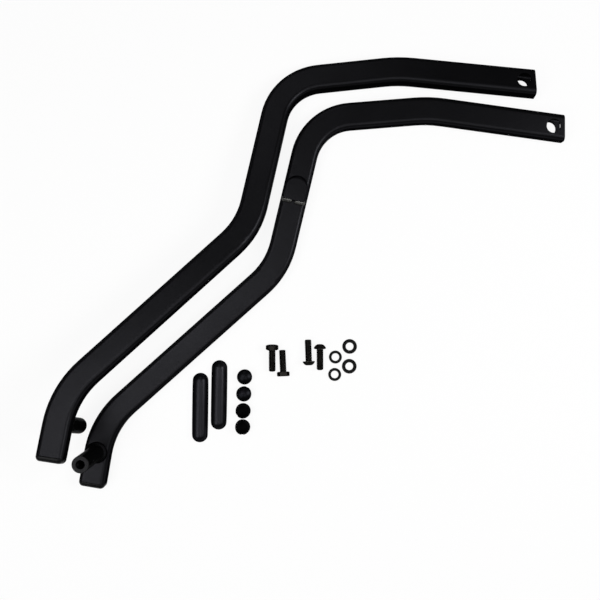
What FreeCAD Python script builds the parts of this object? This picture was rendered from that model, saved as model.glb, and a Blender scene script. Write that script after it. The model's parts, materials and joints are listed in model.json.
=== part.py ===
import FreeCAD, Part
import math
import os

from FreeCAD import Placement, Rotation, Vector

# All sizes are in millimetres and all angles in degrees.

# Section of the arm tube: width in the plane of the bends, depth across it.
tube_width = 30.0
tube_depth = 20.0
tube_wall = 2.0
tube_corner = 5.5

# Straight runs of the arm, from its foot to its rear end.
foot_length = 33.0
diagonal_length = 206.5
upright_length = 105.5
top_length = 74.5
rear_length = 140.5

# Bends between the runs, left turns positive, with the radius of the tube's centre line.
foot_bend_angle = -38.6
foot_radius = 98.0
knee_bend_angle = 34.9
knee_radius = 87.5
corner_bend_angle = -72.0
corner_radius = 57.5
rear_bend_angle = -12.5
rear_radius = 153.0

# Slant of the cut at the open rear end, which leaves the outer edge of the bends shorter.
rear_cut_angle = 8.0

# Hole through both walls near the rear end, measured along the inner edge of the bends.
rear_hole_diameter = 16.0
rear_hole_from_end = 15.0

# Threaded boss welded on the foot run.
boss_diameter = 18.5
boss_length = 67.0
boss_from_end = 35.0
boss_rim_chamfer = 0.5
thread_depth = 26.0
thread_mouth_chamfer = 1.0
drill_point_angle = 118.0
boss_weld_leg = 3.2

# Plate with one round end, welded on the upright run by two beads along its straight edge.
plate_width = 25.0
plate_length = 29.0
plate_thickness = 4.0
plate_edge_round = 2.5
plate_from_corner_bend = 26.0
bead_radius = 3.2
bead_length = 13.0
bead_spacing = 14.5

# Plug that closes the tube at the foot.
plug_head = 6.0
plug_head_round = 4.5
plug_insert = 16.0
plug_core_wall = 1.6
plug_rib_height = 1.4
plug_rib_width = 1.2
plug_rib_count = 3
plug_clearance = 0.1

# Domed cap that snaps into the rear hole.
cap_diameter = 17.5
cap_rim = 1.2
cap_crown = 3.3
cap_skirt = 6.5
cap_skirt_wall = 1.5
cap_clearance = 0.15
cap_barb = 0.35
cap_barb_height = 1.2
cap_slot = 2.6

# Rubber strip with round ends and a domed top.
strip_width = 18.6
strip_length = 80.5
strip_height = 9.0
strip_round = 7.2

# Bolts of the boss thread.
thread_diameter = 8.0
bolt_length = 25.0
bolt_point_chamfer = 1.0
hex_across_flats = 13.0
hex_head_height = 5.3
hex_chamfer_angle = 30.0
button_diameter = 14.0
button_height = 4.4
button_crown_diameter = 6.8
button_rim = 0.7
socket_across_flats = 5.0
socket_depth = 2.8

# Washers of the same thread.
flat_washer_diameter = 17.0
flat_washer_thickness = 1.6
flat_washer_clearance = 0.5
spring_washer_diameter = 15.0
spring_washer_thickness = 2.0
spring_washer_clearance = 0.4
spring_washer_slit = 1.3
spring_washer_slit_angle = 25.0

# Layout on the floor: plan place of the start of each arm's top run, and that run's heading.
right_arm_place = (56.5, 210.3)
right_arm_angle = 4.6
left_arm_place = (21.4, 253.0)
left_arm_angle = 6.0

# Plan places of the loose pieces, from the middle of the right arm's diagonal run.
strip_places = [(7.5, -74.7), (29.4, -60.0)]
strip_angles = [89.3, 89.1]
cap_up_places = [(59.4, -38.6), (58.5, -58.2)]
cap_turned_places = [(57.5, -77.9), (57.0, -96.6)]
cap_slot_angles = [20.0, 65.0, 35.0, 90.0]
hex_bolt_places = [(91.1, -7.4), (103.9, -32.6)]
hex_bolt_angles = [-90.0, 92.6]
button_bolt_places = [(133.4, -20.7), (146.2, -5.7)]
button_bolt_angles = [92.1, -89.6]
flat_washer_places = [(180.8, -3.8), (180.4, -26.8)]
spring_washer_places = [(164.3, -16.1), (163.5, -36.3)]
spring_washer_angles = [140.0, -35.0]

X_AXIS = Vector(1, 0, 0)
Y_AXIS = Vector(0, 1, 0)
Z_AXIS = Vector(0, 0, 1)
ORIGIN = Vector(0, 0, 0)


def towards(heading):
    """Unit vector in the XY plane at an angle from +X."""
    angle = math.radians(heading)
    return Vector(math.cos(angle), math.sin(angle), 0)


def placed(shape, placement):
    """Copy of a shape carried by a placement after its own."""
    copy = shape.copy()
    copy.Placement = placement.multiply(copy.Placement)
    return copy


def on_floor(place, heading, height=0.0):
    """Placement that turns a piece about Z and sets it at a plan place and height."""
    return Placement(Vector(place[0], place[1], height), Rotation(Z_AXIS, heading))


def rounded_section(width, depth, corner):
    """Wire of a rounded rectangle in the YZ plane, centred on the X axis."""
    block = Part.makeBox(1, width, depth, Vector(0, -width / 2, -depth / 2))
    long_edges = [edge for edge in block.Edges if abs(edge.tangentAt(edge.FirstParameter).x) > 0.9]
    bar = block.makeFillet(corner, long_edges)
    faces = [face for face in bar.Faces if abs(face.CenterOfMass.x) < 1e-6]
    return faces[0].OuterWire


def rounded_bar(width, depth, corner, start, length):
    """Bar of rounded rectangular section along X."""
    face = Part.Face(rounded_section(width, depth, corner))
    face.translate(Vector(start, 0, 0))
    return face.extrude(Vector(length, 0, 0))


def hex_bar(across_flats, start, length):
    """Hexagonal bar along X with flats facing up and down."""
    reach = across_flats / math.sqrt(3)
    corners = [towards(60 * step) * reach for step in range(7)]
    wire = Part.makePolygon([Vector(start, point.x, point.y) for point in corners])
    return Part.Face(wire).extrude(Vector(length, 0, 0))


def turned(points, axis):
    """Solid of revolution of (radius, height) corner points about X or Z."""
    if axis == X_AXIS:
        outline = [Vector(height, radius, 0) for radius, height in points]
    else:
        outline = [Vector(radius, 0, height) for radius, height in points]
    outline.append(outline[0])
    return Part.Face(Part.makePolygon(outline)).revolve(ORIGIN, axis, 360)


class ArmPath:
    """Centre line of the arm in the XY plane: straight runs joined by tangent arcs."""

    def __init__(self):
        lengths = [foot_length, diagonal_length, upright_length, top_length, rear_length]
        bends = [foot_bend_angle, knee_bend_angle, corner_bend_angle, rear_bend_angle]
        radii = [foot_radius, knee_radius, corner_radius, rear_radius]
        point = ORIGIN
        heading = 0.0
        self.runs = [(point, heading, lengths[0])]
        self.bends = []
        for length, bend, radius, next_length in zip(lengths, bends, radii, lengths[1:]):
            side = heading + math.copysign(90.0, bend)
            centre = point + towards(heading) * length + towards(side) * radius
            point = centre - towards(side + bend) * radius
            heading += bend
            self.bends.append((centre, bend))
            self.runs.append((point, heading, next_length))

    def along(self, run, distance):
        """Point on a straight run, at a distance from the run's start."""
        start, heading, length = self.runs[run]
        return start + towards(heading) * distance

    def frame(self, run, distance):
        """Placement with its X axis along a straight run."""
        return Placement(self.along(run, distance), Rotation(Z_AXIS, self.runs[run][1]))


FOOT, DIAGONAL, UPRIGHT, TOP, REAR = range(5)
path = ArmPath()


def swept(width, depth, corner):
    """Rounded rectangle carried along the arm: extruded on the runs and revolved in the bends."""
    section = Part.Face(rounded_section(width, depth, corner))
    pieces = []
    for run, (start, heading, length) in enumerate(path.runs):
        pieces.append(placed(section, path.frame(run, 0)).extrude(towards(heading) * length))
        if run < len(path.bends):
            centre, bend = path.bends[run]
            axis = Z_AXIS * math.copysign(1, bend)
            pieces.append(placed(section, path.frame(run, length)).revolve(centre, axis, abs(bend)))
    return pieces[0].fuse(pieces[1:]).removeSplitter()


tube_outside = swept(tube_width, tube_depth, tube_corner)
tube_bore_width = tube_width - 2 * tube_wall
tube_bore_depth = tube_depth - 2 * tube_wall
tube_bore_corner = tube_corner - tube_wall
face_height = tube_depth / 2


def arm_tube():
    """Bent tube, open at both ends, cut on a slant at the rear, with the cap hole through both walls."""
    tube = tube_outside.cut(swept(tube_bore_width, tube_bore_depth, tube_bore_corner))
    beyond = Part.makeBox(tube_width, 2 * tube_width, 2 * tube_depth, Vector(0, -tube_depth, -tube_depth))
    beyond.rotate(ORIGIN, Z_AXIS, rear_cut_angle)
    beyond.translate(Vector(0, -tube_width / 2, 0))
    tube = tube.cut(placed(beyond, path.frame(REAR, rear_length)))
    centre = path.along(REAR, rear_length - rear_hole_from_end)
    start = centre - Z_AXIS * tube_depth
    return tube.cut(Part.makeCylinder(rear_hole_diameter / 2, 2 * tube_depth, start))


def arm_boss():
    """Round boss with a blind thread hole in its end and a weld round its base."""
    radius = boss_diameter / 2
    bore = thread_diameter / 2
    bottom = boss_length - thread_depth
    point = bore / math.tan(math.radians(drill_point_angle / 2))
    mouth = bore + thread_mouth_chamfer
    body = turned([
        (0, 0),
        (radius, 0),
        (radius, boss_length - boss_rim_chamfer),
        (radius - boss_rim_chamfer, boss_length),
        (mouth, boss_length),
        (bore, boss_length - thread_mouth_chamfer),
        (bore, bottom),
        (0, bottom - point),
    ], Z_AXIS)
    skirt = turned([
        (0, -tube_corner / 2),
        (radius + boss_weld_leg, -tube_corner / 2),
        (radius + boss_weld_leg, 0),
        (radius, boss_weld_leg),
        (0, boss_weld_leg),
    ], Z_AXIS)
    place = Placement(path.along(FOOT, boss_from_end) + Z_AXIS * face_height, Rotation())
    return placed(body.fuse(skirt), place).cut(tube_outside).removeSplitter()


def arm_plate():
    """Plate with a round end towards the corner and two weld beads at its straight edge."""
    radius = plate_width / 2
    straight = plate_length - radius
    slab = Part.makeBox(straight, plate_width, plate_thickness, Vector(0, -radius, 0))
    slab = slab.fuse(Part.makeCylinder(radius, plate_thickness, Vector(straight, 0, 0)))
    slab = slab.removeSplitter()
    top_edges = [edge for edge in slab.Edges if edge.BoundBox.ZMin > plate_thickness - 1e-6]
    slab = slab.makeFillet(plate_edge_round, top_edges)
    for side in (-1, 1):
        middle = side * bead_spacing / 2
        reach = bead_length / 2 - bead_radius
        ends = [Vector(0, middle - reach, 0), Vector(0, middle + reach, 0)]
        bead = Part.makeCylinder(bead_radius, 2 * reach, ends[0], Y_AXIS)
        for end in ends:
            bead = bead.fuse(Part.makeSphere(bead_radius, end))
        slab = slab.fuse(bead)
    start = upright_length - plate_from_corner_bend - plate_length
    place = path.frame(UPRIGHT, start)
    place.move(Z_AXIS * face_height)
    return placed(slab, place).cut(tube_outside).removeSplitter()


def end_plug():
    """Plug with a rounded head outside the tube and a hollow ribbed insert inside it."""
    head = rounded_bar(tube_width, tube_depth, tube_corner, -plug_head, plug_head)
    rim = [edge for edge in head.Edges if edge.BoundBox.XMax < 1e-6 - plug_head]
    plug = head.makeFillet(plug_head_round, rim)
    rib_width = tube_bore_width - 2 * plug_clearance
    rib_depth = tube_bore_depth - 2 * plug_clearance
    rib_corner = tube_bore_corner - plug_clearance
    core_corner = rib_corner - plug_rib_height
    core = rounded_bar(
        rib_width - 2 * plug_rib_height, rib_depth - 2 * plug_rib_height, core_corner, 0, plug_insert)
    plug = plug.fuse(core)
    spacing = (plug_insert - plug_rib_width) / plug_rib_count
    for rib in range(plug_rib_count):
        start = (rib + 1) * spacing
        plug = plug.fuse(rounded_bar(rib_width, rib_depth, rib_corner, start, plug_rib_width))
    inset = 2 * (plug_rib_height + plug_core_wall)
    hollow = Part.makeBox(plug_insert, rib_width - inset, rib_depth - inset)
    hollow.translate(Vector(0, inset / 2 - rib_width / 2, inset / 2 - rib_depth / 2))
    return plug.cut(hollow).removeSplitter()


def hole_cap():
    """Domed cap, dome up and skirt foot on z = 0, with a slotted barbed skirt below."""
    radius = cap_diameter / 2
    skirt = rear_hole_diameter / 2 - cap_clearance
    inner = skirt - cap_skirt_wall
    barb = rear_hole_diameter / 2 + cap_barb
    sphere = (radius ** 2 + cap_crown ** 2) / (2 * cap_crown)
    base = cap_skirt + cap_rim
    ball = Part.makeSphere(sphere, Vector(0, 0, base + cap_crown - sphere))
    dome = Part.makeCylinder(radius, cap_crown, Vector(0, 0, base)).common(ball)
    rim = Part.makeCylinder(radius, cap_rim, Vector(0, 0, cap_skirt))
    wall = turned([
        (inner, 0),
        (skirt - cap_barb, 0),
        (barb, cap_barb_height),
        (skirt, 2 * cap_barb_height),
        (skirt, cap_skirt),
        (inner, cap_skirt),
    ], Z_AXIS)
    slot = Part.makeBox(2 * cap_diameter, cap_slot, cap_skirt, Vector(-cap_diameter, -cap_slot / 2, 0))
    return dome.fuse([rim, wall.cut(slot)]).removeSplitter()


def cover_strip():
    """Strip along X with round ends, a flat underside and a domed top."""
    radius = strip_width / 2
    straight = strip_length - strip_width
    strip = Part.makeBox(straight, strip_width, strip_height, Vector(-straight / 2, -radius, 0))
    for end in (-1, 1):
        strip = strip.fuse(Part.makeCylinder(radius, strip_height, Vector(end * straight / 2, 0, 0)))
    strip = strip.removeSplitter()
    top_edges = [edge for edge in strip.Edges if edge.BoundBox.ZMin > strip_height - 1e-6]
    return strip.makeFillet(strip_round, top_edges)


def bolt_shank():
    """Threaded shank along +X from the underside of the head, at the thread's outer size."""
    radius = thread_diameter / 2
    return turned([
        (0, 0),
        (radius, 0),
        (radius, bolt_length - bolt_point_chamfer),
        (radius - bolt_point_chamfer, bolt_length),
        (0, bolt_length),
    ], X_AXIS)


def hex_bolt():
    """Hexagon bolt along +X, its head behind the YZ plane and chamfered at the corners."""
    reach = hex_across_flats / math.sqrt(3)
    flat = hex_across_flats / 2
    slope = (reach - flat) * math.tan(math.radians(hex_chamfer_angle))
    head = hex_bar(hex_across_flats, -hex_head_height, hex_head_height)
    cone = turned([
        (0, 0),
        (reach, 0),
        (reach, slope - hex_head_height),
        (flat, -hex_head_height),
        (0, -hex_head_height),
    ], X_AXIS)
    return head.common(cone).fuse(bolt_shank()).removeSplitter()


def button_bolt():
    """Round-headed bolt along +X with a hexagon socket in its crown."""
    rim = button_diameter / 2
    crown = button_crown_diameter / 2
    height = button_height - button_rim
    sphere_middle = (rim ** 2 - crown ** 2 - height ** 2) / (2 * height)
    sphere = math.hypot(rim, sphere_middle)
    ball = Part.makeSphere(sphere, Vector(sphere_middle - button_rim, 0, 0))
    head = Part.makeCylinder(rim, button_height, Vector(-button_height, 0, 0), X_AXIS).common(ball)
    socket = hex_bar(socket_across_flats, -button_height, socket_depth)
    return head.fuse(bolt_shank()).removeSplitter().cut(socket)


def lying(bolt, head_reach):
    """Bolt lying along +X on the edge of its head and the end of its thread."""
    dip = math.atan2(head_reach - thread_diameter / 2, bolt_length - bolt_point_chamfer)
    height = head_reach * math.cos(dip)
    return placed(bolt, Placement(Z_AXIS * height, Rotation(Y_AXIS, math.degrees(dip))))


def washer_ring(diameter, thickness, clearance):
    """Flat ring for the thread, lying on z = 0."""
    hole = Part.makeCylinder(thread_diameter / 2 + clearance, thickness)
    return Part.makeCylinder(diameter / 2, thickness).cut(hole)


def spring_washer():
    """Ring split by one leaning slit."""
    ring = washer_ring(spring_washer_diameter, spring_washer_thickness, spring_washer_clearance)
    reach = spring_washer_diameter / 2
    slit = Part.makeBox(reach, spring_washer_slit, 6 * spring_washer_thickness)
    slit.translate(Vector(0, -spring_washer_slit / 2, -3 * spring_washer_thickness))
    slit.rotate(ORIGIN, X_AXIS, spring_washer_slit_angle)
    slit.translate(Vector(0, 0, spring_washer_thickness / 2))
    return ring.cut(slit)


def arm_on_floor(place, heading):
    """Placement of an arm by the start of its top run and that run's heading."""
    start, own_heading, length = path.runs[TOP]
    turn = Placement(ORIGIN, Rotation(Z_AXIS, heading - own_heading))
    plan = Placement(Vector(place[0], place[1], face_height), Rotation())
    return plan.multiply(turn).multiply(Placement(-start, Rotation()))


def leaning_arm(place, heading):
    """Placement of an arm whose boss points down: on the boss rim and the top run's outer edge."""
    start, own_heading, length = path.runs[TOP]
    outward = towards(own_heading + 90)
    edge = tube_width / 2 - tube_corner
    boss = (start - path.along(FOOT, boss_from_end)).dot(outward)
    reach = boss - boss_diameter / 2 + boss_rim_chamfer + edge
    drop = boss_length + tube_corner
    lean = math.atan2(drop, reach) - math.asin(tube_corner / math.hypot(reach, drop))
    height = edge * math.sin(lean) + (face_height - tube_corner) * math.cos(lean) + tube_corner
    tilt = Placement(start, Rotation(towards(own_heading), -math.degrees(lean)))
    tilt = tilt.multiply(Placement(-start, Rotation()))
    floor = arm_on_floor(place, heading)
    floor.move(Z_AXIS * (height - face_height))
    return floor.multiply(tilt)


def mirrored(shape):
    """Mirror image in the plane of the bends, for the arm of the other side."""
    return shape.mirror(ORIGIN, Z_AXIS)


right_arm = arm_on_floor(right_arm_place, right_arm_angle)
left_arm = leaning_arm(left_arm_place, left_arm_angle)
loose_middle = right_arm.multVec(path.along(DIAGONAL, diagonal_length / 2))


def loose(places, index, heading, height=0.0):
    """Placement of a loose piece measured from the middle of the right arm's diagonal run."""
    place = (loose_middle.x + places[index][0], loose_middle.y + places[index][1])
    return on_floor(place, heading, height)


nodes = {}
tube = arm_tube()
boss = arm_boss()
plate = arm_plate()
plug = end_plug()
nodes["right_arm_tube"] = placed(tube, right_arm)
nodes["right_arm_boss"] = placed(boss, right_arm)
nodes["right_arm_plate"] = placed(plate, right_arm)
nodes["right_end_plug"] = placed(plug, right_arm)
nodes["left_arm_tube"] = placed(tube, left_arm)
nodes["left_arm_boss"] = placed(mirrored(boss), left_arm)
nodes["left_arm_plate"] = placed(mirrored(plate), left_arm)
nodes["left_end_plug"] = placed(plug, left_arm)

strip = cover_strip()
for index, heading in enumerate(strip_angles):
    nodes[f"cover_strip_{index + 1}"] = placed(strip, loose(strip_places, index, heading))

cap = hole_cap()
cap_height = cap_skirt + cap_rim + cap_crown
turned_cap = placed(cap, Placement(Z_AXIS * cap_height, Rotation(X_AXIS, 180)))
cap_places = cap_up_places + cap_turned_places
for index, heading in enumerate(cap_slot_angles):
    shape = cap if index < len(cap_up_places) else turned_cap
    nodes[f"hole_cap_{index + 1}"] = placed(shape, loose(cap_places, index, heading))

lying_hex_bolt = lying(hex_bolt(), hex_across_flats / 2)
for index, heading in enumerate(hex_bolt_angles):
    nodes[f"hex_bolt_{index + 1}"] = placed(lying_hex_bolt, loose(hex_bolt_places, index, heading))

lying_button_bolt = lying(button_bolt(), button_diameter / 2)
for index, heading in enumerate(button_bolt_angles):
    nodes[f"button_bolt_{index + 1}"] = placed(
        lying_button_bolt, loose(button_bolt_places, index, heading))

flat_washer = washer_ring(flat_washer_diameter, flat_washer_thickness, flat_washer_clearance)
for index in range(len(flat_washer_places)):
    nodes[f"flat_washer_{index + 1}"] = placed(flat_washer, loose(flat_washer_places, index, 0))

split_washer = spring_washer()
for index, heading in enumerate(spring_washer_angles):
    nodes[f"spring_washer_{index + 1}"] = placed(
        split_washer, loose(spring_washer_places, index, heading))

# The origin goes to the middle of the underside of the whole laid-out kit.
box = Part.makeCompound(list(nodes.values())).optimalBoundingBox(True, False)
to_origin = Placement(Vector(-box.Center.x, -box.Center.y, -box.ZMin), Rotation())

os.makedirs("parts", exist_ok=True)
for name, shape in nodes.items():
    placed(shape, to_origin).exportStep(f"parts/{name}.step")
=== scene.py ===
import json
import math

import bpy
import numpy as np
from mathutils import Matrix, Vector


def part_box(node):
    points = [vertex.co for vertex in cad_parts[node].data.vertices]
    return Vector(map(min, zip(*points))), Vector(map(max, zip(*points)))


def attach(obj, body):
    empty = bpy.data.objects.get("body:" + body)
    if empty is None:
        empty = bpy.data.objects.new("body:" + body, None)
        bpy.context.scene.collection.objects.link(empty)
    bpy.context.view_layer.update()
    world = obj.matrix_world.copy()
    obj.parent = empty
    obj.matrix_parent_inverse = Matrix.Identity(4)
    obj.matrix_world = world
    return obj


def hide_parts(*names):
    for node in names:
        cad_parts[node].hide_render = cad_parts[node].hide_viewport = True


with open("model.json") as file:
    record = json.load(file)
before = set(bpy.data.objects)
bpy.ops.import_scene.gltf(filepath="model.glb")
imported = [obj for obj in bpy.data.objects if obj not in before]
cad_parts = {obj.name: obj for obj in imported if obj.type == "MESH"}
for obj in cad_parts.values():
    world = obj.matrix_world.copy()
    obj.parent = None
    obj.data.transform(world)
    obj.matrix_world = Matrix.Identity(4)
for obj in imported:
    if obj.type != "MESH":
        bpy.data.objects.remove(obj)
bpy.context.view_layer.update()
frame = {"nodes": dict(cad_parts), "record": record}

# Stage and camera are in metres, and the pieces are worked out in millimetres.
MM = 0.001
scene = bpy.context.scene
scene.view_settings.view_transform = "Standard"

LENS_OVER = (-11.579 * MM, -30.812 * MM)
LENS_HEIGHT = 930.4 * MM
LENS_MM = 48.08
SENSOR_MM = 36.0
LENS_NEAR = 0.01
LENS_FAR = 20.0

KIT_MIDDLE = (0.0, 0.0, 0.0)
SOFTBOX_SIZE = 0.55
SOFTBOXES = [
    ("top_softbox", (0.0, 0.0, 1.4), 1.3),
    ("left_softbox", (-0.524, 0.0, 1.298), 4.7),
    ("near_left_softbox", (-0.767, -0.537, 1.040), 4.8),
    ("near_right_softbox", (0.179, -0.493, 1.298), 2.8),
    ("right_softbox", (0.937, 0.0, 1.040), 10.4),
    ("far_softbox", (-0.163, 0.923, 1.040), 1.25),
]
WORLD_LEVEL = 0.02

SWEEP_DROP = 0.1 * MM
SWEEP_FLAT = 12.0
SWEEP_CURVE = 2.0
SWEEP_TOP = 2.8

# The floor's paper, and the share of white glow that is seen in its place.
PAPER_WHITE = 0.9
PAPER_ROUGHNESS = 0.9
GLOW_SHARE = 0.9


def add_camera():
    data = bpy.data.cameras.new("overhead_lens")
    data.lens = LENS_MM
    data.sensor_width = SENSOR_MM
    data.clip_start = LENS_NEAR
    data.clip_end = LENS_FAR
    camera = bpy.data.objects.new("overhead_camera", data)
    camera.location = (*LENS_OVER, LENS_HEIGHT)
    scene.collection.objects.link(camera)
    scene.camera = camera


def add_softbox(name, place, power):
    data = bpy.data.lights.new(name, "AREA")
    data.shape = "SQUARE"
    data.size = SOFTBOX_SIZE
    data.energy = power
    lamp = bpy.data.objects.new(name, data)
    lamp.location = place
    way = np.subtract(KIT_MIDDLE, place)
    level = math.hypot(way[0], way[1])
    lamp.rotation_euler = (math.atan2(level, -way[2]), 0.0, math.atan2(-way[0], way[1]))
    scene.collection.objects.link(lamp)


def add_world():
    """Even, dim surround."""
    world = bpy.data.worlds.new("studio_air")
    world.use_nodes = True
    background = world.node_tree.nodes["Background"]
    background.inputs["Color"].default_value = (1, 1, 1, 1)
    background.inputs["Strength"].default_value = WORLD_LEVEL
    scene.world = world


class Nodes:
    """Small helper that adds nodes to a tree and links them by socket names or places."""

    def __init__(self, tree):
        self.tree = tree

    def add(self, kind, **settings):
        node = self.tree.nodes.new(kind)
        for key, value in settings.items():
            setattr(node, key, value)
        return node

    def link(self, source, output, target, socket):
        self.tree.links.new(source.outputs[output], target.inputs[socket])


def new_material(name):
    """Empty material with a Principled BSDF joined to its output."""
    material = bpy.data.materials.new(name)
    material.use_nodes = True
    tree = material.node_tree
    tree.nodes.clear()
    nodes = Nodes(tree)
    shader = nodes.add("ShaderNodeBsdfPrincipled")
    output = nodes.add("ShaderNodeOutputMaterial")
    nodes.link(shader, "BSDF", output, "Surface")
    return material, nodes, shader


def grain_group():
    """Group: fine three-dimensional grain in metres, as a height and a slow cloud for tone."""
    tree = bpy.data.node_groups.new("coat_grain", "ShaderNodeTree")
    for name in ("Grain Scale", "Cloud Scale"):
        tree.interface.new_socket(name, in_out="INPUT", socket_type="NodeSocketFloat")
    for name in ("Height", "Cloud"):
        tree.interface.new_socket(name, in_out="OUTPUT", socket_type="NodeSocketFloat")
    nodes = Nodes(tree)
    source = nodes.add("NodeGroupInput")
    result = nodes.add("NodeGroupOutput")
    place = nodes.add("ShaderNodeTexCoord")
    grain = nodes.add("ShaderNodeTexNoise")
    grain.inputs["Detail"].default_value = 3.0
    grain.inputs["Roughness"].default_value = 0.6
    cloud = nodes.add("ShaderNodeTexNoise")
    cloud.inputs["Detail"].default_value = 2.0
    nodes.link(place, "Object", grain, "Vector")
    nodes.link(place, "Object", cloud, "Vector")
    nodes.link(source, "Grain Scale", grain, "Scale")
    nodes.link(source, "Cloud Scale", cloud, "Scale")
    nodes.link(grain, "Fac", result, "Height")
    nodes.link(cloud, "Fac", result, "Cloud")
    return tree


GRAIN = grain_group()

# The part of the grain's range that the roughness follows.
GRAIN_LOW = 0.3
GRAIN_HIGH = 0.7

# Places of the colour sockets on a Mix node, whose socket names are shared with other types.
MIX_SHARE = 0
MIX_DARK = 6
MIX_LIGHT = 7
MIX_RESULT = 2


def coated(name, dark, light, roughness, grain, metallic, glare):
    """Grained finish: tone drifts with the cloud, and the grain moves the roughness and raises the surface.

    A metallic finish mirrors in its own tone, and glare is its tint at a steep look. For others, glare is
    the gloss."""
    smoothest, roughest = roughness
    grain_scale, cloud_scale, strength, depth = grain
    material, nodes, shader = new_material(name)
    shader.inputs["Metallic"].default_value = metallic
    if metallic:
        shader.inputs["Specular IOR Level"].default_value = 0.0
        shader.inputs["Specular Tint"].default_value = (glare, glare, glare, 1)
    else:
        shader.inputs["Specular IOR Level"].default_value = glare
    pattern = nodes.add("ShaderNodeGroup", node_tree=GRAIN)
    pattern.inputs["Grain Scale"].default_value = grain_scale
    pattern.inputs["Cloud Scale"].default_value = cloud_scale
    tone = nodes.add("ShaderNodeMix", data_type="RGBA")
    tone.inputs[MIX_DARK].default_value = (*dark, 1)
    tone.inputs[MIX_LIGHT].default_value = (*light, 1)
    nodes.link(pattern, "Cloud", tone, MIX_SHARE)
    nodes.link(tone, MIX_RESULT, shader, "Base Color")
    rough = nodes.add("ShaderNodeMapRange")
    rough.inputs["From Min"].default_value = GRAIN_LOW
    rough.inputs["From Max"].default_value = GRAIN_HIGH
    rough.inputs["To Min"].default_value = smoothest
    rough.inputs["To Max"].default_value = roughest
    nodes.link(pattern, "Height", rough, "Value")
    nodes.link(rough, "Result", shader, "Roughness")
    raised = nodes.add("ShaderNodeBump")
    raised.inputs["Strength"].default_value = strength
    raised.inputs["Distance"].default_value = depth
    nodes.link(pattern, "Height", raised, "Height")
    nodes.link(raised, "Normal", shader, "Normal")
    return material


def floor_material():
    """White paper for the light that it throws back, and mostly a white glow to the camera, in reflections
    and through glass, so that the object's shadow stays as a faint grey."""
    material, nodes, shader = new_material("white_sweep")
    shader.inputs["Base Color"].default_value = (PAPER_WHITE, PAPER_WHITE, PAPER_WHITE, 1)
    shader.inputs["Roughness"].default_value = PAPER_ROUGHNESS
    shader.inputs["Specular IOR Level"].default_value = 0.0
    path = nodes.add("ShaderNodeLightPath")
    seen = nodes.add("ShaderNodeMath", operation="MAXIMUM")
    nodes.link(path, "Is Camera Ray", seen, 0)
    nodes.link(path, "Is Glossy Ray", seen, 1)
    shown = nodes.add("ShaderNodeMath", operation="MAXIMUM")
    nodes.link(seen, 0, shown, 0)
    nodes.link(path, "Is Transmission Ray", shown, 1)
    share = nodes.add("ShaderNodeMath", operation="MULTIPLY")
    nodes.link(shown, 0, share, 0)
    share.inputs[1].default_value = GLOW_SHARE
    glow = nodes.add("ShaderNodeEmission")
    mix = nodes.add("ShaderNodeMixShader")
    nodes.link(share, 0, mix, 0)
    nodes.link(shader, "BSDF", mix, 1)
    nodes.link(glow, "Emission", mix, 2)
    nodes.link(mix, "Shader", nodes.tree.nodes["Material Output"], "Surface")
    return material


# Points once round a bolt, washer, strip, cap or floor.
ROUND_COLUMNS = 96


def round_axis(radius, height, turn):
    """Points at a radius, a height and a turn about the Z axis, from arrays that broadcast together."""
    return np.stack(np.broadcast_arrays(radius * np.cos(turn), radius * np.sin(turn), height), axis=-1)


def full_turn(columns=ROUND_COLUMNS):
    """Even turns once round, without the last one, which is the first again."""
    return np.linspace(0, 2 * math.pi, columns, endpoint=False)


def numbered(points):
    """Numbers of the points of a grid, in its rows and columns."""
    return np.arange(points[..., 0].size).reshape(points.shape[:2])


def row_quads(index):
    """Quads that join each row of point numbers to the next one, where every row closes on itself."""
    after = np.roll(index, -1, axis=1)
    return np.stack([index[:-1], after[:-1], after[1:], index[1:]], axis=-1).reshape(-1, 4)


def add_sweep(steps=13):
    angle = np.linspace(0, math.pi / 2, steps)
    reach = SWEEP_FLAT + SWEEP_CURVE * np.append(np.sin(angle), 1.0)
    height = np.append(SWEEP_CURVE * (1 - np.cos(angle)), SWEEP_TOP) - SWEEP_DROP
    rings = round_axis(reach[:, None], height[:, None], full_turn())
    index = numbered(rings)
    faces = [index[0].tolist(), *row_quads(index)[:, ::-1].tolist()]
    mesh = bpy.data.meshes.new("sweep")
    mesh.from_pydata(rings.reshape(-1, 3).tolist(), [], faces)
    mesh.materials.append(floor_material())
    mesh.shade_smooth()
    floor = bpy.data.objects.new("sweep", mesh)
    scene.collection.objects.link(floor)


add_camera()
add_world()
for name, place, power in SOFTBOXES:
    add_softbox(name, place, power)
add_sweep()

# Grains of the finishes: scale of the grain, scale of the cloud, strength of the bump, its depth in metres.
COAT_GRAIN = (900, 30, 0.45, 0.0002)
WELD_GRAIN = (1600, 120, 0.2, 0.0002)
METAL_GRAIN = (2500, 200, 0.1, 0.0001)
PLUG_GRAIN = (1400, 60, 0.1, 0.0001)
PLASTIC_GRAIN = (1200, 60, 0.1, 0.0001)

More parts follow.
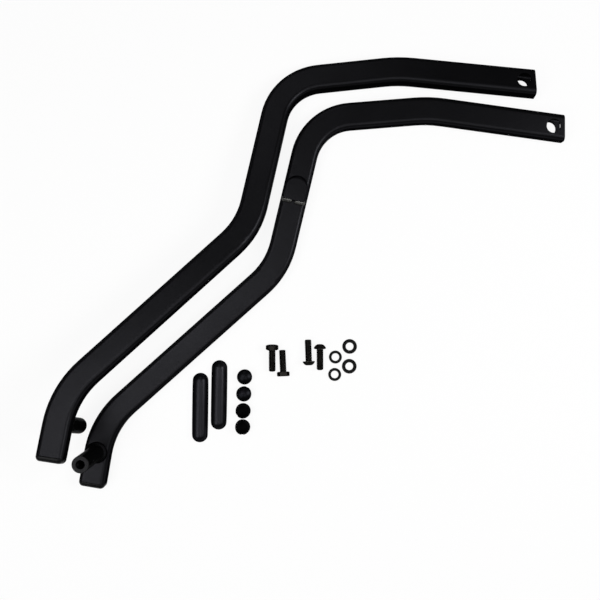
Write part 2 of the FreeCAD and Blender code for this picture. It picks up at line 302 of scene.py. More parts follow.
# Finishes, as black as the photograph shows them.
powder = coated(
    "black_powder_coat", dark=(0.0095, 0.0095, 0.0107), light=(0.0130, 0.0130, 0.0146),
    roughness=(0.30, 0.40), grain=COAT_GRAIN, metallic=0.85, glare=0.03)
# Same coat with a brighter tint at a steep look, on the boss barrels only: painted sheen for the soft
# highlights the lamps give there.
painted_sheen_barrel_coat = coated(
    "coated_barrel", dark=(0.0095, 0.0095, 0.0100), light=(0.0130, 0.0130, 0.0136),
    roughness=(0.30, 0.40), grain=COAT_GRAIN, metallic=0.85, glare=0.25)
# Coat at about half its tone, for the welds round the bosses' feet: painted shade where boss and tube meet.
ring = coated(
    "boss_weld_painted_shade", dark=(0.0045, 0.0045, 0.0050), light=(0.0065, 0.0065, 0.0072),
    roughness=(0.35, 0.45), grain=COAT_GRAIN, metallic=0.85, glare=0.03)
# Plate weld beads at several times the coat's tone: painted highlight for the light the beads face.
weld = coated(
    "weld_bead_painted_highlight", dark=(0.05, 0.05, 0.048), light=(0.10, 0.10, 0.096),
    roughness=(0.18, 0.28), grain=WELD_GRAIN, metallic=0.85, glare=0.5)
# Thread in the bores, far darker than the coat: painted shade inside the boss's bore.
bore_thread_painted_shade = coated(
    "bore_thread_painted_shade", dark=(0.0020, 0.0020, 0.0021), light=(0.0040, 0.0040, 0.0042),
    roughness=(0.35, 0.45), grain=METAL_GRAIN, metallic=0.9, glare=0.0)
plug = coated(
    "black_plug", dark=(0.0014, 0.0014, 0.0016), light=(0.0021, 0.0021, 0.0024),
    roughness=(0.34, 0.44), grain=PLUG_GRAIN, metallic=0.0, glare=0.1)
rubber = coated(
    "black_rubber", dark=(0.0125, 0.0125, 0.0145), light=(0.0165, 0.0165, 0.0190),
    roughness=(0.30, 0.38), grain=PLASTIC_GRAIN, metallic=0.85, glare=0.03)
cap = coated(
    "black_cap", dark=(0.0062, 0.0064, 0.0076), light=(0.0084, 0.0086, 0.0100),
    roughness=(0.32, 0.40), grain=PLASTIC_GRAIN, metallic=0.85, glare=0.03)
# Much darker, matte copy of the cap's plastic for faces below the rim and inside the hollow: painted shade
# under the dome and in the skirt.
cap_painted_shade = coated(
    "cap_hollow_painted_shade", dark=(0.0006, 0.0006, 0.0007), light=(0.0010, 0.0010, 0.0012),
    roughness=(0.60, 0.70), grain=PLASTIC_GRAIN, metallic=0.0, glare=0.03)
zinc = coated(
    "black_zinc", dark=(0.0115, 0.0108, 0.0098), light=(0.0210, 0.0197, 0.0178),
    roughness=(0.28, 0.40), grain=METAL_GRAIN, metallic=0.9, glare=0.1)
washer_zinc = coated(
    "dark_zinc", dark=(0.0046, 0.0046, 0.0047), light=(0.0088, 0.0088, 0.0088),
    roughness=(0.30, 0.40), grain=METAL_GRAIN, metallic=0.9, glare=0.1)
BY_SLOT = {
    "black_coat": powder, "plug_plastic": plug, "strip_rubber": rubber, "cap_plastic": cap,
    "black_zinc": zinc}

for row in frame["record"]["subparts"]:
    node = frame["nodes"][row["node"]]
    node.data.materials.clear()
    # Boss barrels take the coat copy with the painted sheen.
    finish = painted_sheen_barrel_coat if row["node"].endswith("_boss") else BY_SLOT[row["material_slot"]]
    node.data.materials.append(finish)


def floor_place(node):
    """Point on the floor below the middle of a node's box, in millimetres."""
    low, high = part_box(node)
    return (np.array(low) + np.array(high)) / 2 / MM * (1, 1, 0)


def node_points(node):
    """Vertices of a node, in millimetres."""
    owner = frame["nodes"][node]
    points = np.empty(len(owner.data.vertices) * 3)
    owner.data.vertices.foreach_get("co", points)
    matrix = np.array(owner.matrix_world)
    return (points.reshape(-1, 3) @ matrix[:3, :3].T + matrix[:3, 3]) / MM


# A grid is a pair of vertices in millimetres and a list of face arrays, one for each run of equal faces.
SHARP_ANGLE = math.radians(40)


def outward(vertices, groups):
    """Faces in the order of corners that gives the closed shape a positive volume.

    The volume is a sixth of the sum, over fan triangles, of first corner dot (second cross third)."""
    total = 0.0
    for group in groups:
        corners = vertices[group]
        for step in range(1, group.shape[1] - 1):
            sides = np.cross(corners[:, step], corners[:, step + 1])
            total += np.einsum("ij,ij->", corners[:, 0], sides)
    if total < 0:
        return [group[:, ::-1] for group in groups]
    return groups


def add_piece(name, grids, material, slot, *stands_for):
    """One object from closed grids, each turned so that its faces point outwards."""
    faces = []
    start = 0
    for vertices, groups in grids:
        for group in outward(vertices, groups):
            faces.extend((group + start).tolist())
        start += len(vertices)
    points = np.concatenate([vertices for vertices, _ in grids])
    mesh = bpy.data.meshes.new(name)
    mesh.from_pydata((points * MM).tolist(), [], faces)
    mesh.materials.append(material)
    mesh.shade_smooth()
    mesh.set_sharp_from_angle(angle=SHARP_ANGLE)
    piece = bpy.data.objects.new(name, mesh)
    scene.collection.objects.link(piece)
    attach(piece, "root")
    if stands_for:
        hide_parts(*stands_for)
    return piece


def tube_grid(points):
    """Rows that each close on themselves, joined by quads, with a pole in the middle of each end row."""
    index = numbered(points)
    start, end = index[0], index[-1]
    poles = np.array([points[0].mean(axis=0), points[-1].mean(axis=0)])
    first = np.stack([np.roll(start, -1), start, np.full_like(start, index.size)], axis=-1)
    last = np.stack([end, np.roll(end, -1), np.full_like(end, index.size + 1)], axis=-1)
    return np.concatenate([points.reshape(-1, 3), poles]), [row_quads(index), first, last]


def ring_grid(points):
    """Rows and columns that both close on themselves, joined by quads."""
    index = numbered(points)
    return points.reshape(-1, 3), [row_quads(np.concatenate([index, index[:1]]))]


def rounded_outline(corners, radius, steps=5):
    """Closed outline of (a, b) corner points, each corner replaced by an arc of a radius.

    An arc runs between the points at radius times the tangent of half the turn from the corner,
    and is drawn as a quadratic curve with the corner as its middle control point."""
    corners = np.asarray(corners, float)
    before = corners - np.roll(corners, 1, axis=0)
    after = np.roll(corners, -1, axis=0) - corners
    before /= np.linalg.norm(before, axis=1, keepdims=True)
    after /= np.linalg.norm(after, axis=1, keepdims=True)
    turn = np.arccos(np.clip((before * after).sum(axis=1), -1, 1))
    cut = (np.broadcast_to(radius, turn.shape) * np.tan(turn / 2))[:, None, None]
    share = np.linspace(0, 1, steps)[None, :, None]
    start = corners[:, None] - before[:, None] * cut
    end = corners[:, None] + after[:, None] * cut
    arcs = start * (1 - share) ** 2 + 2 * corners[:, None] * share * (1 - share) + end * share ** 2
    return arcs.reshape(-1, 2)


def moved(grid, origin, turn=0.0):
    """Grid turned about Z by degrees and shifted to an origin."""
    vertices, faces = grid
    angle = math.radians(turn)
    matrix = np.array([
        [math.cos(angle), -math.sin(angle), 0], [math.sin(angle), math.cos(angle), 0], [0, 0, 1]])
    return vertices @ matrix.T + np.asarray(origin), faces


def framed(grid, origin, axes):
    """Grid carried from its own axes to three given axes (as rows) and an origin."""
    vertices, faces = grid
    return vertices @ np.asarray(axes) + np.asarray(origin), faces


# Screw threads, whose flanks are steeper than a plain wave's and leave flats at crest and root.
THREAD_R = 4.0
THREAD_ROOT_R = 3.35
PITCH = 1.25
FLANK_RISE = 1.45
ROOT_FLAT = 0.18

# Bolts, along +X from the underside of the head.
BOLT_LENGTH = 25.0
POINT_CHAMFER = 1.0
NECK_R = 3.7
THREAD_FADE = 1.6
SHANK_ROWS = 281

# Hexagon head, with its rows as an inset and a distance. Insets are from the half flats, but from the
# hexagon itself in the side rows. Distances are down from the top in the top rows, and otherwise from the
# underside.
HEX_FLATS = 13.0
HEX_HEIGHT = 5.3
HEX_CORNER_CUT = 0.25
HEX_CONE_IN = 0.25
HEX_CONE_SLOPE = math.tan(math.radians(30))
HEX_CONE_SHARES = np.linspace(0.2, 1.0, 5)
HEX_TOP_ROWS = [(4.82, 0.12), (2.02, 0.12), (0.75, 0.0), (HEX_CONE_IN, 0.0)]
HEX_SIDE_ROWS = [(0.0, -0.55), (0.12, -0.42)]
HEX_FACE_ROWS = [(0.3, -0.38), (0.4, 0.0)]

# Round head with a hexagon socket.
BUTTON_R = 7.0
BUTTON_HEIGHT = 4.4
BUTTON_RIM = 0.7
BUTTON_EDGE = 0.2
CROWN_FLAT_R = 3.4
CROWN_RADII = np.linspace(3.7, BUTTON_R, 9)
SOCKET_FLATS = 5.0
SOCKET_DEPTH = 2.8
SOCKET_CORNER_CUT = 0.08
SOCKET_POINT = 0.5
SOCKET_SHARES = (0.4, 1.0)
SOCKET_LIP = 0.2
SOCKET_LIP_DEPTH = 0.25


def thread_radius(turn, along, crest, root):
    """Radius of a screw thread: a wave of the phase (distance over pitch minus turn over a full turn),
    rising and falling straight between flats at the root and the crest."""
    phase = np.mod(along / PITCH - turn / (2 * math.pi), 1.0)
    wave = np.clip((1 - np.abs(2 * phase - 1)) * FLANK_RISE - ROOT_FLAT, 0, 1)
    return root + (crest - root) * wave


def hexagon_radius(turn, flats, corner_cut):
    """Distance to a hexagon's side at a turn, half the flats over the cosine of the angle to the nearest
    flat, held back at the corners by a cut."""
    nearest = np.mod(turn, math.pi / 3) - math.pi / 6
    return np.minimum(flats / 2 / np.cos(nearest), flats / math.sqrt(3) - corner_cut)


def bolt_shank_rows(turn):
    """Rows of (radius, distance) from the head's underside to the bolt's point.

    The thread fades in below the head and is held inside a cone at the point."""
    along = np.linspace(0.0, BOLT_LENGTH, SHANK_ROWS)[:, None]
    radius = thread_radius(turn[None], along, THREAD_R, THREAD_ROOT_R)
    radius = NECK_R + (radius - NECK_R) * np.clip(along / THREAD_FADE, 0, 1)
    radius = np.minimum(radius, THREAD_R - np.clip(along - (BOLT_LENGTH - POINT_CHAMFER), 0, None))
    return radius, np.broadcast_to(along, radius.shape)


def head_row(turn, radius, place):
    """Row of a head as a radius and a distance for each turn, where either may be one number."""
    return np.broadcast_to(radius, turn.shape), np.broadcast_to(place, turn.shape)


def hex_head_rows(turn):
    """Rows of a hexagon head from the middle of its top to its underside.

    The side is a hexagon, and a cone that starts inside the top flat's edge cuts its corners."""
    side = hexagon_radius(turn, HEX_FLATS, HEX_CORNER_CUT)
    flat = HEX_FLATS / 2
    cone = flat - HEX_CONE_IN
    rows = [head_row(turn, flat - inset, depth - HEX_HEIGHT) for inset, depth in HEX_TOP_ROWS]
    for share in HEX_CONE_SHARES:
        reach = cone + (side - cone) * share
        rows.append((reach, (reach - cone) * HEX_CONE_SLOPE - HEX_HEIGHT))
    rows += [head_row(turn, side - inset, place) for inset, place in HEX_SIDE_ROWS]
    rows += [head_row(turn, flat - inset, place) for inset, place in HEX_FACE_ROWS]
    rows.append(head_row(turn, THREAD_R, 0.0))
    return rows


def button_head_rows(turn):
    """Rows of a round head from the floor of its hexagon socket, over the crown's arc, to its underside.

    The arc's middle lies where a ball meets both the crown's flat and the rim."""
    socket = hexagon_radius(turn, SOCKET_FLATS, SOCKET_CORNER_CUT)
    floor = SOCKET_DEPTH - BUTTON_HEIGHT
    rows = [
        head_row(turn, socket * share, floor + SOCKET_POINT * (1 - share)) for share in SOCKET_SHARES]
    rows.append(head_row(turn, socket, SOCKET_LIP_DEPTH - BUTTON_HEIGHT))
    rows.append(head_row(turn, socket + SOCKET_LIP, -BUTTON_HEIGHT))
    rows.append(head_row(turn, CROWN_FLAT_R, -BUTTON_HEIGHT))
    height = BUTTON_HEIGHT - BUTTON_RIM
    middle = (BUTTON_R ** 2 - CROWN_FLAT_R ** 2 - height ** 2) / (2 * height)
    ball = math.hypot(BUTTON_R, middle)
    for reach in CROWN_RADII:
        rows.append(head_row(turn, reach, middle - BUTTON_RIM - math.sqrt(ball ** 2 - reach ** 2)))
    rows.append(head_row(turn, BUTTON_R, -BUTTON_EDGE))
    rows.append(head_row(turn, BUTTON_R - BUTTON_EDGE, 0.0))
    rows.append(head_row(turn, THREAD_R, 0.0))
    return rows


def bolt_grid(head_rows):
    """Closed skin of a bolt along +X: the head's rows, then the shank's, round the X axis."""
    turn = full_turn()
    head = head_rows(turn)
    radius, along = bolt_shank_rows(turn)
    radius = np.concatenate([np.array([row[0] for row in head]), radius])
    along = np.concatenate([np.array([row[1] for row in head]), along])
    return tube_grid(np.stack([along, radius * np.cos(turn), radius * np.sin(turn)], axis=-1))


def lying_axes(heading, head_reach):
    """Axes (as rows) and height of a bolt that lies on its head's edge and its thread's end.

    The dip's tangent is head reach less thread radius, over the thread's length up to its point."""
    dip = math.atan2(head_reach - THREAD_R, BOLT_LENGTH - POINT_CHAMFER)
    angle = math.radians(heading)
    forward = np.array([math.cos(angle) * math.cos(dip), math.sin(angle) * math.cos(dip), -math.sin(dip)])
    across = np.array([-math.sin(angle), math.cos(angle), 0.0])
    return np.array([forward, across, np.cross(forward, across)]), head_reach * math.cos(dip)


# Bolts on the plan, from the middle of the right arm's diagonal run: node, head, reach of the head, place
# and heading in degrees. The first flat washer's place there ties the plan to the frame.
WASHER_ON_PLAN = (180.8, -3.8)
BOLTS = [
    ("hex_bolt_1", hex_head_rows, HEX_FLATS / 2, (91.1, -7.4), -90.0),
    ("hex_bolt_2", hex_head_rows, HEX_FLATS / 2, (103.9, -32.6), 92.6),
    ("button_bolt_1", button_head_rows, BUTTON_R, (133.4, -20.7), 92.1),
    ("button_bolt_2", button_head_rows, BUTTON_R, (146.2, -5.7), -89.6),
]
plan_middle = floor_place("flat_washer_1")[:2] - WASHER_ON_PLAN
for node, rows, reach, place, heading in BOLTS:
    axes, height = lying_axes(heading, reach)
    origin = (*(plan_middle + place), height)
    add_piece(node + "_threaded", [framed(bolt_grid(rows), origin, axes)], zinc, "black_zinc", node)

# Washers. The rounds run from the foot's inner edge to its outer one and back over the top.
FLAT_HOLE_R = 4.5
FLAT_R = 8.5
FLAT_THICKNESS = 1.6
FLAT_ROUNDS = [0.15, 0.15, 0.5, 0.35]
SPRING_HOLE_R = 4.4
SPRING_R = 7.5
SPRING_THICKNESS = 2.0
SPRING_ROUND = 0.2
HALF_SLIT = 0.3
SLIT_LEAN = math.tan(math.radians(25))
SPRING_TURNS = {"spring_washer_1": 140.0, "spring_washer_2": -35.0}


def ring_corners(hole, rim, thickness):
    """Corners of a ring's section, as (radius, height)."""
    return [(hole, 0), (rim, 0), (rim, thickness), (hole, thickness)]


def flat_washer_grid():
    """Stamped ring: a rectangle with one edge rolled over and a sharper one below, carried round Z."""
    outline = rounded_outline(ring_corners(FLAT_HOLE_R, FLAT_R, FLAT_THICKNESS), FLAT_ROUNDS)
    return ring_grid(round_axis(outline[:, 0], outline[:, 1], full_turn()[:, None]))


def spring_washer_grid(columns=120):
    """Split ring: a rectangle carried nearly once round, each end cut on the same slant.

    A point's turn is shifted by its height below the middle times the slant over the radius."""
    outline = rounded_outline(ring_corners(SPRING_HOLE_R, SPRING_R, SPRING_THICKNESS), SPRING_ROUND)
    radius, height = outline[:, 0], outline[:, 1]
    share = np.linspace(0, 1, columns)[:, None]
    gap = HALF_SLIT / radius
    shift = (SPRING_THICKNESS / 2 - height) * SLIT_LEAN / radius
    return tube_grid(round_axis(radius, height, gap + shift + share * (2 * math.pi - 2 * gap)))


for node in ("flat_washer_1", "flat_washer_2"):
    grid = moved(flat_washer_grid(), floor_place(node))
    add_piece(node + "_stamped", [grid], washer_zinc, "black_zinc", node)
for node, turn in SPRING_TURNS.items():
    grid = moved(spring_washer_grid(), floor_place(node), turn)
    add_piece(node + "_split", [grid], washer_zinc, "black_zinc", node)

# Strips: the power sets how square the dome is, and the step how sharply the sides turn into the ends.
STRIP_HALF = 9.3
STRIP_LENGTH = 80.5
STRIP_HEIGHT = 9.0
STRIP_POWER = 2.1
STRIP_STEP = 8
STRIP_FOOT = 0.5
STRIP_HEADINGS = {"cover_strip_1": 89.3, "cover_strip_2": 89.1}


def strip_grid(rows=24):
    """Domed strip along X with round ends and a flat underside.

    A point is a place on the middle line plus a share of the half width along the outline's normal, and
    its height is the strip's height times (1 - share to the power p) to the power 1/p. The last row lies
    on the underside."""
    turn = full_turn()
    share = np.sin(np.linspace(0, math.pi / 2, rows))
    height = STRIP_HEIGHT * (1 - share ** STRIP_POWER) ** (1 / STRIP_POWER)
    share = np.append(share, STRIP_FOOT)[:, None]
    height = np.append(height, 0.0)[:, None]
    points = round_axis(STRIP_HALF * share, height, turn)
    points[..., 0] += (STRIP_LENGTH / 2 - STRIP_HALF) * np.tanh(STRIP_STEP * np.cos(turn))
    return tube_grid(points)


for node, heading in STRIP_HEADINGS.items():
    grid = moved(strip_grid(), floor_place(node), heading)
    add_piece(node + "_domed", [grid], rubber, "strip_rubber", node)

# Hole caps, dome up with the foot of the skirt on z = 0. Outlines are (radius, height).
CAP_HEIGHT = 11.0
CAP_R = 8.75
SKIRT_R = 6.35
POLE_R = 0.05
DOME_RISE = 3.3
DOME_RADII = np.linspace(0.6, 8.6, 16)
HOLLOW_RADII = np.linspace(SKIRT_R - POLE_R, POLE_R, 12)
CAP_RIM = [(CAP_R, 7.55), (CAP_R, 6.9), (8.55, 6.55), (8.2, 6.5), (SKIRT_R, 6.5)]
SKIRT_CORNERS = [(SKIRT_R, 0), (7.5, 0), (8.35, 1.2), (7.85, 2.4), (7.85, 6.7), (SKIRT_R, 6.7)]
SKIRT_ROUNDS = [0.3, 0.3, 0.25, 0.3, 0.05, 0.05]
SKIRT_COLUMNS = 48
HALF_SLOT = 1.3
HOLLOW_TOP = 9.4
HOLLOW_FALL = 2.0
# Painted shade: faces below this height, and faces inside the skirt up to a little over the hollow's roof,
# take a much darker, matte colour.
PAINTED_SHADE_BELOW = 6.8
PAINTED_SHADE_ROOF = 0.8

# Each cap's turn in degrees, and whether it lies dome down.
HOLE_CAPS = {
    "hole_cap_1": (20.0, False), "hole_cap_2": (65.0, False),
    "hole_cap_3": (35.0, True), "hole_cap_4": (90.0, True)}


def hollow_height(radius):
    """Height of the underside of a cap's dome at a radius."""
    return HOLLOW_TOP - HOLLOW_FALL * (radius / SKIRT_R) ** 2


def painted_shade_faces(grid):
    """Whether each face of a cap's grid lies below the rim, or inside the skirt under the hollow's roof;
    these faces get painted shade.
    """
    vertices, groups = grid
    middles = np.concatenate([vertices[group].mean(axis=1) for group in groups])
    radius = np.hypot(middles[:, 0], middles[:, 1])
    roof = hollow_height(radius) + PAINTED_SHADE_ROOF
    return (middles[:, 2] < PAINTED_SHADE_BELOW) | ((radius < SKIRT_R) & (middles[:, 2] < roof))


def cap_grids():
    """Hollow dome with a rolled rim, and a skirt of two curved walls with an outward barb.

    The dome is part of a ball, and the height of the hollow under it falls with the square of the radius."""
    ball = (CAP_R ** 2 + DOME_RISE ** 2) / (2 * DOME_RISE)
    dome_heights = CAP_HEIGHT - ball + np.sqrt(ball ** 2 - DOME_RADII ** 2)
    dome = np.stack([DOME_RADII, dome_heights], axis=-1)
    hollow = np.stack([HOLLOW_RADII, hollow_height(HOLLOW_RADII)], axis=-1)
    profile = np.concatenate([[(POLE_R, CAP_HEIGHT)], dome, CAP_RIM, hollow])
    grids = [tube_grid(round_axis(profile[:, :1], profile[:, 1:], full_turn()))]
    wall = rounded_outline(SKIRT_CORNERS, SKIRT_ROUNDS)
    radius, height = wall[:, 0], wall[:, 1]
    gap = np.arcsin(HALF_SLOT / radius)
    share = np.linspace(0, 1, SKIRT_COLUMNS)[:, None]
    for side in (0.0, math.pi):
        grids.append(tube_grid(round_axis(radius, height, side + gap + share * (math.pi - 2 * gap))))
    return grids


def upside_down(grid, height):
    """Grid turned half round the X axis and lifted by a height."""
    vertices, faces = grid
    return vertices * (1, -1, -1) + (0, 0, height), faces


for node, (turn, dome_down) in HOLE_CAPS.items():
    grids = cap_grids()
    # Faces under the rim and in the hollow take the second, much darker material: painted shade.
    painted_shade = np.concatenate([painted_shade_faces(grid) for grid in grids])
    if dome_down:
        grids = [upside_down(grid, CAP_HEIGHT) for grid in grids]
    grids = [moved(grid, floor_place(node), turn) for grid in grids]
    piece = add_piece(node + "_snap", grids, cap, "cap_plastic", node)
    piece.data.materials.append(cap_painted_shade)
    piece.data.polygons.foreach_set("material_index", painted_shade.astype(np.int32))

# Bosses. The thread that lines the bore stops just short of the mouth, follows the mouth's cone with a
# little slack, and has a plain back a little way into the wall. A weld goes round the boss's foot.
SIDES = ("right", "left")
THREAD_DEPTH = 26.0
BORE_R = 3.98
BORE_CREST_R = 3.4
BORE_BACK_R = 4.3
BORE_ROWS = 208
MOUTH_CHAMFER = 1.0
MOUTH_SLACK = 0.07
MOUTH_STOP = 0.05
MOUTH_BACK = 0.06
MOUTH_BACK_R = 5.25
CONE_BACK = 0.3
BOSS_LENGTH = 67.0
BOSS_R = 9.25
WELD_LEG = 3.2
WELD_SWELL = 0.35
WELD_RIPPLE = 0.28
WELD_RIPPLES = 36
WELD_LEAN = 1.2
WELD_SINK = 0.6
RIPPLE_POWER = 0.6
mounts = {mount["name"]: mount for mount in frame["record"]["mounts"]}


def axis_frame(name):
    """Middle of a round mount in millimetres, and axes (as rows) whose third is the mount's own."""
    centre = np.array(mounts[name]["pos_m"]) / MM
    axis = np.array(mounts[name]["axis"])
    side = np.cross((0.0, 1.0, 0.0), axis)
    side /= np.linalg.norm(side)
    return centre, np.array([side, np.cross(axis, side), axis])


def inner_thread_grid(columns=72):
    """Thread lining a bore about Z: a screw's wave inwards from the bore's wall, held outside a cone at the
    mouth, and backed by a plain cylinder and cone a little way into the wall."""
    end = THREAD_DEPTH / 2
    turn = full_turn(columns)
    along = np.linspace(-end, end - MOUTH_STOP, BORE_ROWS)[:, None]
    cone = THREAD_R - MOUTH_SLACK + along - (end - MOUTH_CHAMFER)
    crest = np.maximum(thread_radius(turn, along, BORE_R, BORE_CREST_R), cone)
    back = np.array([end - MOUTH_BACK, end - MOUTH_CHAMFER - CONE_BACK, -end])[:, None]
    wall = np.array([MOUTH_BACK_R, BORE_BACK_R, BORE_BACK_R])[:, None]
    return ring_grid(np.concatenate([round_axis(crest, along, turn), round_axis(wall, back, turn)]))


def weld_ring_grid(columns=240, steps=13):
    """Weld round a boss: a rounded triangle of two legs carried round Z, its face swelling in ripples
    that lean along the weld, with its back sunk into boss and tube."""
    turn = full_turn(columns)[:, None]
    share = np.linspace(0, 1, steps)
    arch = np.sin(math.pi * share)
    ripple = np.abs(np.sin(WELD_RIPPLES * turn / 2 + WELD_LEAN * arch)) ** RIPPLE_POWER
    swell = (WELD_SWELL + WELD_RIPPLE * ripple * arch) * arch
    face = round_axis(BOSS_R + WELD_LEG * (1 - share) + swell, WELD_LEG * share + swell, turn)
    reach = np.array([BOSS_R - WELD_SINK, BOSS_R - WELD_SINK, BOSS_R + WELD_LEG])
    up = np.array([WELD_LEG, -WELD_SINK, -WELD_SINK])
    return ring_grid(np.concatenate([face, round_axis(reach, up, turn)], axis=1))


for side in SIDES:
    centre, axes = axis_frame(f"{side}_boss_thread")
    grid = framed(inner_thread_grid(), centre, axes)
    # The bore's lining thread is much darker than the coat: painted shade in the bore.
    add_piece(f"{side}_boss_screw_thread", [grid], bore_thread_painted_shade, "black_coat")
    foot = centre - axes[2] * (BOSS_LENGTH - THREAD_DEPTH / 2)
    # This weld takes the half-tone coat: painted shade at the boss's foot.
    add_piece(f"{side}_boss_weld", [framed(weld_ring_grid(), foot, axes)], ring, "black_coat")

# Headings of the arms' top runs, and the turns from a top run back to its upright run and to its foot, in
# degrees.
TOP_HEADING = {"right": 4.6, "left": 6.0}
UPRIGHT_TURN = 72.0
FOOT_TURN = 75.7

# Plates: the roll of the rim all round, what the round end adds to it, the least height left upright at
# the rim, and how far the foot is sunk into the tube. Two weld beads lie at a plate's straight edge.
PLATE_LENGTH = 29.0
PLATE_WIDTH = 25.0
PLATE_THICKNESS = 4.0
PLATE_ROLL = 1.0
PLATE_END_ROLL = 3.0
PLATE_END_POWER = 1.5
PLATE_RISE_POWER = 1.3
PLATE_LAND = 0.4
PLATE_SINK = 0.4
PLATE_BACK_POINTS = 40
PLATE_FLAT_ROWS = (0.98, 0.6, 0.2)
BEAD_R = 3.2
BEAD_LENGTH = 13.0
BEAD_SPACING = 14.5
BEAD_WAVE = 2.2
BEAD_BOW = 1.3
BEAD_RIPPLE = 0.10
BEAD_SINK = 1.5


def run_axes(side, degrees):
    """Axes (as rows) of an arm's run: along it, across it, and out of the face that the boss stands on.

    The run's heading is the top run's, turned by degrees about the normal of the arm's plane."""
    out = axis_frame(f"{side}_boss_thread")[1][2]
    heading = math.radians(TOP_HEADING[side])
    top = np.array([math.cos(heading), math.sin(heading), 0.0])
    turn = math.radians(degrees)
    along = math.cos(turn) * top + math.sin(turn) * np.cross(out * np.sign(out[2]), top)
    return np.array([along, np.cross(out, along), out])


def reach_on(node, axes):
    """Lowest and highest reach of a node along three axes, in millimetres."""
    reach = node_points(node) @ axes.T
    return reach.min(axis=0), reach.max(axis=0)


def bead_grid(rows=150, columns=40):
    """Weld bead along Y: rings that close like half balls at both ends, flat below, and swell in ripples.

    A ring's radius is that of a round-ended rod, and a ripple is the size of a sine of the place along the
    bead, bowed by the sine of the angle round it."""
    place = np.sin(np.linspace(-math.pi / 2, math.pi / 2, rows + 2)[1:-1])[:, None] * BEAD_LENGTH / 2
    angle = full_turn(columns)
    beyond = np.clip(np.abs(place) - (BEAD_LENGTH / 2 - BEAD_R), 0, BEAD_R)
    ripple = np.abs(np.sin(BEAD_WAVE * place + BEAD_BOW * np.sin(angle))) ** RIPPLE_POWER
    radius = np.sqrt(BEAD_R ** 2 - beyond ** 2) * (1.0 + BEAD_RIPPLE * ripple)
    height = np.maximum(radius * np.sin(angle), -BEAD_SINK)
    return tube_grid(np.stack(np.broadcast_arrays(radius * np.cos(angle), place, height), axis=-1))


def plate_grid(columns=160, steps=12):
    """Plate along X from its straight edge, with a round far end whose rim rolls over.

    The outline is a half circle joined to two corners. A row is the outline moved inwards by a share of the
    roll, which grows with the part of the outline's normal that points to the round end, and raised by one
    less a power of what is left of the share."""
    half = PLATE_WIDTH / 2
    turn = np.linspace(-math.pi / 2, math.pi / 2, columns)
    normal = np.stack([np.cos(turn), np.sin(turn)], axis=-1)
    arc = normal * half + (PLATE_LENGTH - half, 0.0)
    across = np.linspace(1, -1, PLATE_BACK_POINTS)
    outline = np.concatenate([arc, np.stack([np.zeros_like(across), half * across], axis=-1)])
    normal = np.concatenate([normal, np.stack([-np.ones_like(across), across], axis=-1)])
    roll = PLATE_ROLL + PLATE_END_ROLL * np.clip(normal[:, 0], 0, 1) ** PLATE_END_POWER
    share = np.linspace(0, 1, steps)[:, None]
    rise = np.minimum(roll, PLATE_THICKNESS - PLATE_LAND)
    height = PLATE_THICKNESS - rise * (1 - share) ** PLATE_RISE_POWER
    inset = (share * roll)[..., None]
    sides = np.concatenate([outline - inset * normal, height[..., None]], axis=-1)
    foot = np.concatenate([outline, np.full((len(outline), 1), -PLATE_SINK)], axis=1)[None]
    middle = sides[-1].mean(axis=0)
    flat = [middle + (sides[-1:] - middle) * size for size in PLATE_FLAT_ROWS]
    return tube_grid(np.concatenate([foot, sides, *flat]))


for side in SIDES:
    axes = run_axes(side, UPRIGHT_TURN)
    low, high = reach_on(f"{side}_arm_plate", axes)
    edge = np.array([low[0] + BEAD_R, (low[1] + high[1]) / 2, high[2] - PLATE_THICKNESS])
    grid = framed(plate_grid(), edge @ axes, axes)
    add_piece(f"{side}_plate_rolled", [grid], powder, "black_coat", f"{side}_arm_plate")
    for number, shift in ((1, -BEAD_SPACING / 2), (2, BEAD_SPACING / 2)):
        grid = framed(bead_grid(), (edge + (0.0, shift, 0.0)) @ axes, axes)
        # The beads take the much lighter weld colour: painted highlight.
        add_piece(f"{side}_plate_weld_{number}", [grid], weld, "black_coat")

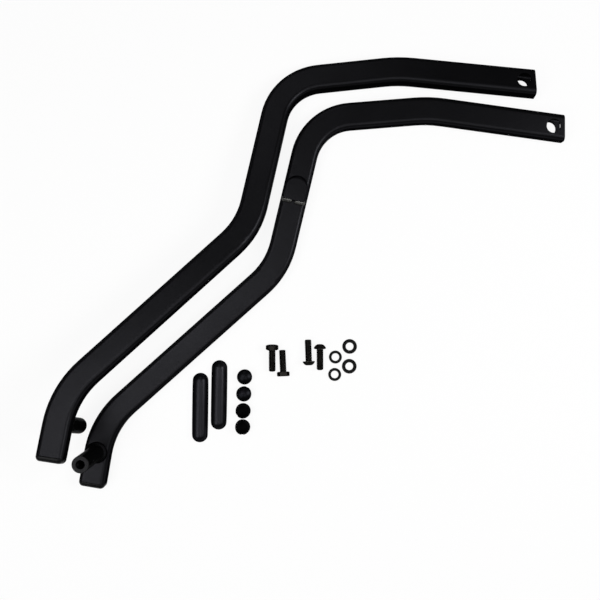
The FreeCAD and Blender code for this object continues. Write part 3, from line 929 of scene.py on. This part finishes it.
# End plugs in the tube's section. The neck's rows are (place along the plug, inset).
TUBE_WIDTH = 30.0
TUBE_DEPTH = 20.0
TUBE_CORNER = 5.5
SMALLEST_CORNER = 0.8
PLUG_HEAD = 6.0
PLUG_FLANGE = 1.0
PLUG_ROLL = 4.6
PLUG_ROLL_POWER = 0.9
PLUG_INSERT = 16.0
PLUG_NECK = [(-0.6, 0.0), (-0.3, 0.25), (-0.15, 0.8), (0.0, 2.2), (PLUG_INSERT, 2.2)]


def section_rows(along, inset, steps=10):
    """Rounded rectangles of the tube's section in the planes of given places along X.

    Each is made smaller all round by its inset: four corner centres, each with a quarter circle of the
    corner radius less the inset."""
    radius = np.maximum(TUBE_CORNER - inset, SMALLEST_CORNER)[:, None]
    quarter = np.arange(4) * math.pi / 2
    angle = (quarter[:, None] + np.linspace(0, math.pi / 2, steps)).reshape(-1)
    side = np.sign(np.cos(quarter + math.pi / 4)).repeat(steps)
    rise = np.sign(np.sin(quarter + math.pi / 4)).repeat(steps)
    across = side * (TUBE_WIDTH / 2 - inset[:, None] - radius) + radius * np.cos(angle)
    up = rise * (TUBE_DEPTH / 2 - inset[:, None] - radius) + radius * np.sin(angle)
    return np.stack(np.broadcast_arrays(along[:, None], across, up), axis=-1)


def plug_grid(steps=16):
    """End plug along X, its head on the negative side of the tube's end at 0.

    The head's inset grows as a quarter circle from a flange near the tube to the end, and a narrow groove
    lies between flange and tube. The insert inside the tube is plain."""
    share = np.linspace(0, 1, steps)
    head = -PLUG_HEAD + (PLUG_HEAD - PLUG_FLANGE) * share
    roll = PLUG_ROLL * (1 - np.sqrt(1 - (1 - share) ** 2)) ** PLUG_ROLL_POWER
    rows = np.concatenate([np.stack([head, roll], axis=-1), PLUG_NECK])
    return tube_grid(section_rows(rows[:, 0], rows[:, 1]))


for side in SIDES:
    axes = run_axes(side, FOOT_TURN)
    low, high = reach_on(f"{side}_end_plug", axes)
    end = np.array([low[0] + PLUG_HEAD, (low[1] + high[1]) / 2, (low[2] + high[2]) / 2])
    grid = framed(plug_grid(), end @ axes, axes)
    add_piece(f"{side}_plug_rounded", [grid], plug, "plug_plastic", f"{side}_end_plug")
